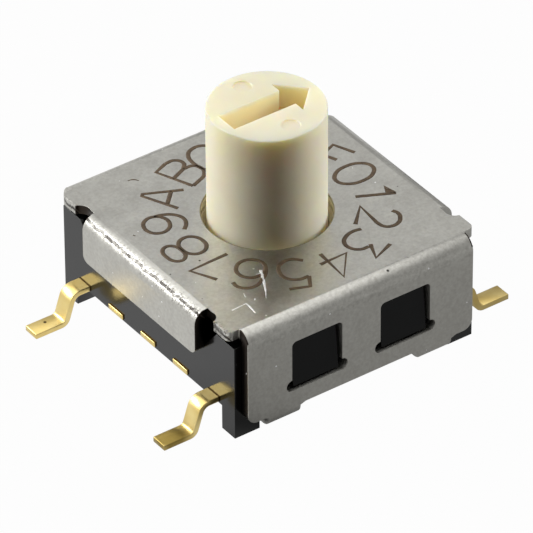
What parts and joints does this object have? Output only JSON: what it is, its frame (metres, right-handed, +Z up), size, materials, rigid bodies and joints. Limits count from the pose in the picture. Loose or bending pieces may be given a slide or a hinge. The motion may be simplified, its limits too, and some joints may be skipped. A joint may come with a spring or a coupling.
{
  "type": "rotary dip switch",
  "caption": "Surface-mount rotary coded switch: folded sheet cover over a square moulded housing, an upright shaft with an arrow slot, and gull-wing leads on two sides.",
  "frame": {"origin": "on the shaft's axis, in the mounting plane under the feet of the leads; it is the bottom centre of the bounding box", "axes": "+Z up along the shaft away from the board, +X at right angles to the lead rows towards the row with the bit 2, 8 and 4 leads, which is also where the arrow points at position 0, +Y along the lead rows"},
  "size_m": [0.0096, 0.0072, 0.0058],
  "materials": {
    "cover_sheet": "satin stainless sheet",
    "housing_plastic": "smooth black moulding",
    "shaft_plastic": "satin cream moulding",
    "seal_rubber": "brown silicone rubber",
    "spring_sheet": "bright spring sheet",
    "contact_gold": "gold-plated copper alloy"
  },
  "bodies": {
    "base": {"cover": "cover_sheet", "housing": "housing_plastic", "click_spring": "spring_sheet", "terminal_common": "contact_gold", "terminal_1": "contact_gold", "terminal_2": "contact_gold", "terminal_4": "contact_gold", "terminal_8": "contact_gold"},
    "rotor": {"rotor": "shaft_plastic", "wiper": "contact_gold", "seal_ring": "seal_rubber"}
  },
  "joints": [
    {"name": "rotor_spin", "type": "hinge", "parent": "base", "child": "rotor", "pos_m": [0, 0, 0.003], "axis": [0, 0, 1], "continuous": true, "deforming": ["click_spring"]}
  ]
}
